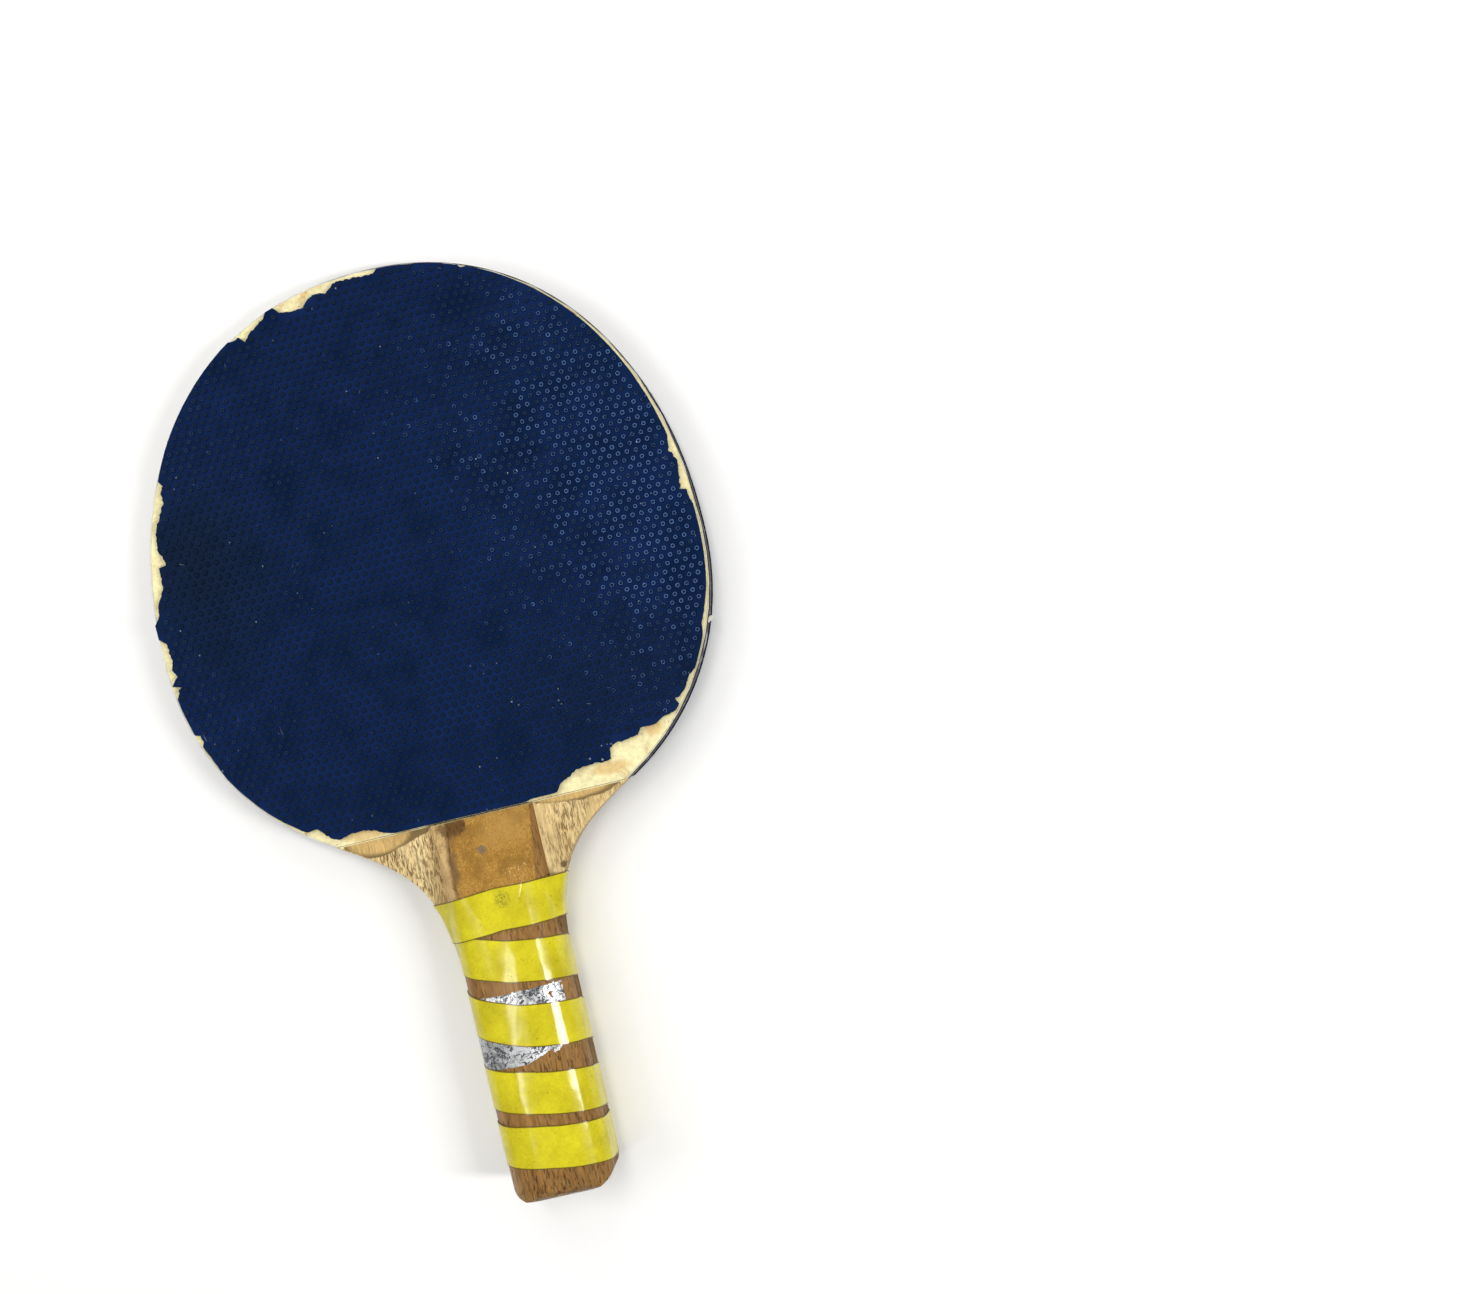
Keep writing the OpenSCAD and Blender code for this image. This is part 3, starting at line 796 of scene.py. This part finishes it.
class PADDLE_OT_sheets(BuildingStep, bpy.types.Operator):
    """Build the two pimpled rubber sheets, the front one torn along its rim"""
    bl_idname = "paddle.sheets"
    bl_label = "Rubber sheets"

    def pimples(self, sizes, radius, seed):
        """A field of pimples on a honeycomb lattice, those outside radius(angle) removed."""
        foot_z, top_z = (GLUE_Z + sizes.web / MM - 0.03) * MM, RUBBER_Z * MM
        tall = top_z - foot_z
        choose()
        bpy.ops.mesh.primitive_circle_add(vertices=sizes.sides, radius=sizes.foot / 2, fill_type="NGON",
                                          location=(0, 0, 0))
        field = named("pimples")
        edit(field)
        bpy.ops.mesh.extrude_region_move(TRANSFORM_OT_translate={"value": (0, 0, tall)})
        narrow = sizes.head / sizes.foot
        bpy.ops.transform.resize(value=(narrow, narrow, 1), center_override=(0, 0, 0))
        bpy.ops.mesh.inset(thickness=sizes.lip)
        bpy.ops.mesh.inset(thickness=0.12 * MM, depth=-sizes.cup)
        object_mode()
        lip = field.data.attributes.new("lip", "FLOAT", "POINT")
        polish = [1.0 if v.co.z > tall - 0.3 * sizes.cup else 0.25 if v.co.z > tall / 2 else 0.0
                  for v in field.data.vertices]
        lip.data.foreach_set("value", polish)
        corners = len(field.data.vertices)
        row = sizes.pitch * math.sqrt(3) / 2
        columns = int(HEAD_W * MM / sizes.pitch) + 2
        rows = int((TIP_LEN + CUT_DROP) * MM / row / 2) + 2
        start = (-columns / 2 * sizes.pitch, HEAD_Y * MM - CUT_DROP * MM + 0.4 * MM, foot_z)
        field.data.transform(Matrix.Translation(start))
        for count, shift in ((2, (sizes.pitch / 2, row, 0)), (columns, (sizes.pitch, 0, 0)), (rows, (0, 2 * row, 0))):
            apply(field, "ARRAY", count=count, use_relative_offset=False, use_constant_offset=True,
                  constant_offset_displace=shift)
        co = np.empty(len(field.data.vertices) * 3)
        field.data.vertices.foreach_get("co", co)
        co = co.reshape(-1, corners, 3)
        middles = co.mean(axis=1)
        outside = []
        for x, y, _ in middles / MM:
            angle = math.atan2(x, y - HEAD_Y)
            near = min(radius(angle + d) for d in (-0.012, 0, 0.012))
            outside.append(math.hypot(x, y - HEAD_Y) > near - sizes.clear / MM or y < CUT_Y + 0.55)
        # Moulding and wear leave no two tops quite alike: each leans a little
        draw = np.random.default_rng(seed)
        lean = draw.normal(0, LEAN, (len(co), 1, 2))
        grow = 1 + draw.normal(0, GROWTH, (len(co), 1, 1))
        offset = co[:, :, :2] - middles[:, None, :2]
        co[:, :, :2] = middles[:, None, :2] + offset * grow
        tops = co[:, :, 2] > foot_z + 0.1 * MM
        co[:, :, 2] += tops * ((offset * lean).sum(axis=2) - 0.025 * MM)
        co[:, :, 2] = np.minimum(co[:, :, 2], top_z)
        field.data.vertices.foreach_set("co", co.ravel())
        field.data.vertices.foreach_set("select", np.repeat(np.array(outside), corners))
        for parts in (field.data.edges, field.data.polygons):
            parts.foreach_set("select", np.zeros(len(parts), bool))
        choose(field)
        bpy.ops.object.mode_set(mode="EDIT")
        bpy.ops.mesh.select_mode(type="VERT")
        bpy.ops.mesh.delete(type="VERT")
        object_mode()
        return field

    def execute(self, context):
        sizes, tints = context.scene.paddle_sheets, context.scene.paddle_tints
        web_z = GLUE_Z + sizes.web / MM
        for name, node, radius, front in (
                ("front_sheet", "front_rubber", front_sheet_radius, True),
                ("rear_sheet", "rear_rubber", rear_sheet_radius, False)):
            field = self.pimples(sizes, radius, 11 if front else 12)
            sheet = flat_piece(name, head_points(radius, sizes.corners), GLUE_Z, web_z)
            choose(field, sheet)
            bpy.ops.object.join()
            if not front:
                edit(sheet)
                bpy.ops.transform.resize(value=(1, 1, -1), center_override=(0, 0, 0))
            settle(sheet, 38)
            hand_over(sheet, rubber_look(name + "_rubber", tints, RUBBER_Z, web_z, front), "navy_rubber", node)
        return {"FINISHED"}


class PADDLE_OT_scales(BuildingStep, bpy.types.Operator):
    """Finish the two half-round wooden scales of the handle"""
    bl_idname = "paddle.scales"
    bl_label = "Handle scales"

    def paint_front_light_and_wear(self, look, tints):
        """Painted light on the left side of the front scale's ramp, a painted shadow below the sheet's cut, and the
        dirt and glue on its ramp.
        """
        x, y = look.axis("X"), look.axis("Y")
        # Painted light: the left side of the ramp drawn paler where the light falls on it.
        look.paint(tints.lit_flank, look.step(x, -9.2, -10.6), look.step(y, -55, -47), look.patches(0.2, 0.5, 5, seed=31),
                   0.8)
        look.paint(shade(tints.scale_dark, 0.5), look.spot(-9.4, -34, 1.5, 11, 0.1, 1.1, 0.4, 2.5), 0.7)
        look.paint(shade(tints.scale_dark, 0.42), look.spot(-8, -26, 5.2, 2.6, 0.5, 1.1, 0.3, 2), 0.7)
        look.paint(shade(tints.cream, 0.55), look.step(y, CUT_Y - 0.5, CUT_Y - 0.4), 0.75)
        # Painted shadow: the scale's top end, just below the sheet's cut edge, drawn dark.
        look.paint(shade(tints.grime_and_shade, 0.5), look.step(y, CUT_Y - 0.3, CUT_Y - 0.26))

    def execute(self, context):
        tints = context.scene.paddle_tints
        for node, name in (("front_handle_scale", "front_scale"), ("rear_handle_scale", "rear_scale")):
            look = wood_look(name + "_wood", tints.scale_light, tints.scale_dark, tints.scale_pore, 0.5, 6, broad=8,
                             coat=0.12, pores=0.75, open_from=0.53)
            if name == "front_scale":
                self.paint_front_light_and_wear(look, tints)
            butt = look.step(look.axis("Y"), BUTT_Y + 9, BUTT_Y + 1)
            marks = look.patches(0.52, 0.62, 1.6, 4, 0.65, look.stretched(1, 3.2, 1), 0.5, 12)
            look.paint(tints.scale_pore, marks, butt, 0.8)
            look.paint(tints.butt_dirt, look.patches(0.48, 0.62, 2.2, 4, 0.7, seed=19), butt, 0.55)
            look.paint(shade(tints.scale_dark, 0.55), look.patches(0.6, 0.7, 3.5, 4, seed=21), 0.5)
            look.relief(look.noise(2.6, 4, seed=13), 0.18, 0.8)
            scale_wood = look.done(look.ramp(look.noise(4, 4, seed=14), (0.3, 0.26), (0.7, 0.5)))
            hand_over(refined(node, name, 0.3, 35), scale_wood, "scale_wood", node)
        return {"FINISHED"}


class PADDLE_OT_tape(BuildingStep, bpy.types.Operator):
    """Wind the yellow tape down the handle"""
    bl_idname = "paddle.tape"
    bl_label = "Grip tape"

    def execute(self, context):
        sizes, tints = context.scene.paddle_tape, context.scene.paddle_tints
        width, thick, gap = sizes.width / MM, sizes.thickness / MM, sizes.gap / MM
        first, last = TAPE_WAY[0][0], TAPE_WAY[-1][0]
        wrapped = (CUT_Y - BUTT_Y) - TAPE_TOP - TAPE_BARE - width / 2

        def place(u, v):
            turn = first + (last - first) * u
            ragged = 0.12 * rough(turn * 47, 10 * round(v), 0, 3) * abs(2 * v - 1)
            y = CUT_Y - TAPE_TOP - wrapped * along(TAPE_WAY, turn) + (v - 0.5) * width + ragged
            lift = (thick + gap) * min(max((LIFT_TO - turn) / (LIFT_TO - LIFT_FROM), 0), 1)
            angle = math.radians(90 - 360 * turn)
            x, z = grip_place(angle)
            ripple = sizes.ripple / MM * (rough(x, y * 0.6, z, 3.2) + 0.6 * rough(x, y, z + 40, 1.5))
            return on_grip(y, angle, gap + lift + max(ripple, -0.03))

        tape = strip("grip_tape_strip", int((last - first) * sizes.steps), sizes.across, place)
        thicken(tape, thick)
        look = Look("yellow_tape", Coat_Weight=0.6, Coat_Roughness=0.12, Specular_IOR_Level=0.05)
        uv = look.add("ShaderNodeSeparateXYZ")
        look.links.new(look.add("ShaderNodeTexCoord").outputs["UV"], uv.inputs["Vector"])
        off_middle = look.math("ABSOLUTE", look.math("SUBTRACT", uv.outputs["Y"], 0.5))
        look.colour = look.ramp(look.noise(8, 4, seed=1), (0.32, tints.tape), (0.7, tints.tape_shade))
        look.paint(look.ramp(look.noise(0.8, 4, 0.75, seed=21), (0.3, 0.82), (0.7, 1.12)), 0.7, blend="MULTIPLY")
        specks = look.step(look.cells(1.3), 0.2, 0.1)
        look.paint(shade(tints.tape_shade, 0.3), specks, look.patches(0.46, 0.6, 4, seed=6), 0.6)
        hairs = look.patches(0.61, 0.66, 0.7, 3, 0.7, look.stretched(1.8, 1, 1), 2.5, 17)
        look.paint(shade(tints.tape_shade, 0.35), hairs, look.patches(0.46, 0.56, 5, 2, 0.5, seed=18), 0.45)
        look.paint(tints.tape_scuff, look.spot(2.1, -46.6, 3.0, 2.4, 0.5, 1.1, 0.2, 2),
                   look.patches(0.46, 0.54, 0.9, 4, 0.75, seed=25, distortion=2.0), 0.7)
        # Dirt and painted shade: a thin dark line along both of the tape's edges.
        look.paint(tints.tape_edge_dirt_and_shade, look.step(off_middle, 0.466, 0.486), 0.9)
        look.relief(look.noise(1.7, place=look.stretched(1, 1.6, 1), seed=3), 0.07, 0.55)
        look.relief(look.noise(0.5, 2, seed=5), 0.01, 0.5)
        yellow = look.done(look.ramp(look.noise(4, 4, 0.65, seed=8), (0.3, 0.3), (0.75, 0.45)))
        hand_over(tape, yellow, "yellow_tape", "grip_tape")
        return {"FINISHED"}


class PADDLE_OT_foil(BuildingStep, bpy.types.Operator):
    """Stick the torn, rubbed foil round the handle"""
    bl_idname = "paddle.foil"
    bl_label = "Foil"

    def execute(self, context):
        tints = context.scene.paddle_tints
        low_y, high_y = (corner.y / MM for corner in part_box("foil_label"))

        def place(u, v):
            angle = math.radians(FOIL_START + (FOIL_END - FOIL_START) * u)
            y = low_y + (high_y - low_y) * v
            x, z = grip_place(angle)
            crease = 1 - abs(rough(x, y, z, 2.6)) * 2
            return on_grip(y, angle, 0.03 + 0.05 * max(crease, 0) + 0.015 * (1 + rough(x, y, z, 1)))

        def torn(face):
            p = face.calc_center_median() / MM
            u = (math.degrees(math.atan2(p.z, p.x)) % 360 - FOIL_START) / (FOIL_END - FOIL_START)
            ragged = 0.12 * rough(p.x, p.y, p.z, 1.2) + 0.08 * rough(p.x, p.y, p.z, 0.5)
            hole = rough(p.x + 31, p.y, p.z, 1.5) > 0.52 and p.x > 3
            return (p.y < along(FOIL_LOW, p.x) + ragged or p.y > high_y - 0.15 + 0.4 * ragged
                    or u < 0.008 + 0.03 * ragged or u > 0.99 + 0.1 * ragged or hole)

        foil = strip("foil_strip", 150, 70, place)
        tear_off(foil, torn)
        thicken(foil, FOIL_THICK)
        look = Look("rubbed_foil")
        rubbed = look.noise(3.2, seed=2, distortion=0.6)
        look.colour = look.ramp(rubbed, (0.32, shade(tints.foil, 0.4)), (0.43, shade(tints.foil, 0.8)),
                                (0.6, tints.foil))
        look.paint(shade(tints.foil, 0.42), look.step(look.axis("X"), 4, -3), look.step(look.axis("Y"), -76, -78), 0.75)
        blots = look.times(look.patches(0.545, 0.565, 1.9, 3, 0.65, look.stretched(1.2, 1, 1), 1.4, 6),
                           look.patches(0.38, 0.48, 4, seed=15))
        folds = look.math("ABSOLUTE", look.math("SUBTRACT", look.noise(2.4, 3, 0.65, distortion=1.6, seed=23), 0.5))
        folds = look.times(look.step(folds, 0.036, 0.018), look.patches(0.4, 0.5, 5, 2, seed=27))
        dark = look.math("MAXIMUM", blots, folds)
        look.paint(tints.foil_dark, dark, 0.95)
        look.relief(look.noise(1.2, 4, 0.7, seed=4), 0.12, 0.7)
        matt = look.times(look.math("MAXIMUM", dark, look.step(rubbed, 0.5, 0.62)), 0.7)
        silver = look.done(look.ramp(rubbed, (0.35, 0.28), (0.65, 0.5)), look.math("SUBTRACT", 0.8, matt))
        hand_over(foil, silver, "foil", "foil_label")
        return {"FINISHED"}


class PADDLE_OT_decal(BuildingStep, bpy.types.Operator):
    """Lay what is left of the paper decal over the front ramp"""
    bl_idname = "paddle.decal"
    bl_label = "Decal remnant"

    def execute(self, context):
        tints = context.scene.paddle_tints
        high_y, low_y = CUT_Y - 0.6, CUT_Y - 22.5

        def place(u, v):
            x, y = -10.8 + 24.4 * u, low_y + (high_y - low_y) * v
            return Vector((x, y, scale_top(x, y) + 0.03)) * MM

        def torn(face):
            p = face.calc_center_median() / MM
            down = CUT_Y - p.y
            ragged = 0.6 * rough(p.x, p.y, 0, 2.4) + 0.35 * rough(p.x, p.y, 5, 0.8)
            chipped = p.x < -4.4 + ragged and down < 3.6 + ragged - 0.25 * (p.x + 4)
            return (chipped or p.x < -9.3 + 0.8 * ragged or p.x > 13.5 - 0.11 * down + 0.25 * ragged
                    or down > 22 + 0.5 * ragged)

        paper = strip("decal_paper", 80, 70, place)
        tear_off(paper, torn)
        thicken(paper, PAPER_THICK, even=False)
        look = Look("decal_paper_fibres", Coat_Weight=0.15, Coat_Roughness=0.14, Specular_IOR_Level=0.1)
        fibres = look.noise(0.9, 5, 0.75, distortion=3.0, seed=2)
        look.colour = look.ramp(fibres, (0.36, shade(tints.decal, 0.5)), (0.5, tints.decal), (0.62, tints.decal_pale))
        look.paint(shade(tints.decal, 0.6), look.patches(0.46, 0.66, 5, 4, seed=5), 0.7)
        look.paint(shade(tints.decal_pale, 0.85), look.spot(6, -29, 9, 6, 0.1, 1.2, 0.3, 4), 0.5)
        look.paint(tints.decal_spot, look.spot(-0.8, -33.0, 1.7, 1.5, 0.5, 1.0, 0.3, 1.2), 0.75)
        look.paint(tints.decal_edge, look.spot(-9.0, -35, 1.7, 10, 0.1, 1.0, 0.4, 2.0), 0.75)
        look.paint(tints.decal_flake, look.spot(7.5, -40, 4.5, 3, 0.3, 1.1, 0.3, 2),
                   look.patches(0.6, 0.64, 1.2, 4, 0.7, look.stretched(0.6, 1.6, 1), 0.6, 9), 0.9)
        look.relief(fibres, 0.09, 0.8)
        hand_over(paper, look.done(0.52), "decal_paper", "decal_remnant")
        return {"FINISHED"}


class PADDLE_OT_stage(BuildingStep, bpy.types.Operator):
    """Set the pale floor, the soft light and the camera"""
    bl_idname = "paddle.stage"
    bl_label = "Stage"

    def resting_line(self):
        """Two points (y, z) that the paddle lies on, one on each side of its middle."""
        low = []
        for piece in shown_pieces():
            co = np.empty(len(piece.data.vertices) * 3)
            piece.data.vertices.foreach_get("co", co)
            low.append(co.reshape(-1, 3)[:, 1:])
        points = np.concatenate(low)
        points = points[np.lexsort((points[:, 1], points[:, 0]))]
        hull = []
        for p in points:
            while len(hull) > 1 and np.cross(hull[-1] - hull[-2], p - hull[-2]) <= 0:
                hull.pop()
            hull.append(p)
        place = bisect_right([p[0] for p in hull], 0.0)
        return hull[place - 1], hull[place]

    def area_light(self, name, location, target, size, power, colour):
        bpy.ops.object.light_add(type="AREA", location=location)
        light = bpy.context.object
        light.name = light.data.name = name
        light.data.shape = "RECTANGLE"
        light.data.size, light.data.size_y = size
        light.data.energy, light.data.color = power, colour
        light.rotation_euler = (Vector(location) - Vector(target)).to_track_quat("Z", "Y").to_euler()

    def execute(self, context):
        stage = context.scene.paddle_stage
        back, front = self.resting_line()
        slope = math.atan2(front[1] - back[1], front[0] - back[0])
        floor_z = back[1] - back[0] * math.tan(slope)
        choose()
        bpy.ops.mesh.primitive_plane_add(size=6, location=(0, 0, floor_z - 0.0001), rotation=(slope, 0, 0))
        floor = named("floor")
        look = Look("pale_floor")
        look.colour = look.ramp(look.noise(120, 3, 0.5), (0.3, 0.93), (0.7, 0.96))
        floor.data.materials.append(look.done(0.8))
        floor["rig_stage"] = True
        for name, x, y, share in SOFT_LIGHTS:
            self.area_light(name, (x, y, 0.95), (0, 0, 0), (0.9, 0.9), stage.key * share, (1, 0.99, 0.97))
        for name, location, width, height, share in GLINT_LIGHTS:
            self.area_light(name, location, TAPE_MIDDLE, (width, height), share * stage.glint, (1, 1, 0.98))
        self.area_light("sheen", (0.015, 0.15, 0.72), HEAD_RIGHT, (0.09, 0.28), stage.sheen, (1, 0.98, 0.96))
        world = bpy.data.worlds.new("soft_surroundings")
        context.scene.world = world
        world.use_nodes = True
        world.node_tree.nodes["Background"].inputs["Color"].default_value = (0.97, 0.98, 1, 1)
        world.node_tree.nodes["Background"].inputs["Strength"].default_value = stage.sky
        context.scene.view_settings.view_transform = "Standard"
        bpy.ops.object.camera_add()
        camera = bpy.context.object
        camera.name = "camera"
        camera.matrix_world = Matrix.Translation(CAMERA_PLACE) @ Matrix(CAMERA_AXES).transposed().to_4x4()
        camera.data.lens, camera.data.sensor_width, camera.data.sensor_fit = stage.lens, 36, "HORIZONTAL"
        camera.data.clip_start, camera.data.clip_end = 0.01, 20
        context.scene.camera = camera
        return {"FINISHED"}


OPERATORS = (PADDLE_OT_plies, PADDLE_OT_binding, PADDLE_OT_glue, PADDLE_OT_sheets, PADDLE_OT_scales, PADDLE_OT_tape,
             PADDLE_OT_foil, PADDLE_OT_decal, PADDLE_OT_stage)
SETTINGS = {"paddle_sheets": PaddleSheetSizes, "paddle_tape": PaddleTapeSizes, "paddle_tints": PaddleTints,
            "paddle_stage": PaddleStage}


class PADDLE_PT_panel(bpy.types.Panel):
    """Lists the paddle's pieces in the order they are built"""
    bl_idname = "PADDLE_PT_panel"
    bl_label = "Table tennis paddle"
    bl_space_type = "VIEW_3D"
    bl_region_type = "UI"
    bl_category = "Paddle"

    def draw(self, context):
        for operator in OPERATORS:
            self.layout.operator(operator.bl_idname)
        for name, group in SETTINGS.items():
            box = self.layout.box()
            for field in group.__annotations__:
                box.prop(getattr(context.scene, name), field)


def register():
    for cls in (*SETTINGS.values(), *OPERATORS, PADDLE_PT_panel):
        bpy.utils.register_class(cls)
    for name, group in SETTINGS.items():
        setattr(bpy.types.Scene, name, PointerProperty(type=group))


def unregister():
    for name in SETTINGS:
        delattr(bpy.types.Scene, name)
    for cls in reversed((*SETTINGS.values(), *OPERATORS, PADDLE_PT_panel)):
        bpy.utils.unregister_class(cls)


def main():
    register()
    for operator in OPERATORS:
        getattr(bpy.ops.paddle, operator.bl_idname.split(".")[1])()


if __name__ == "__main__":
    main()
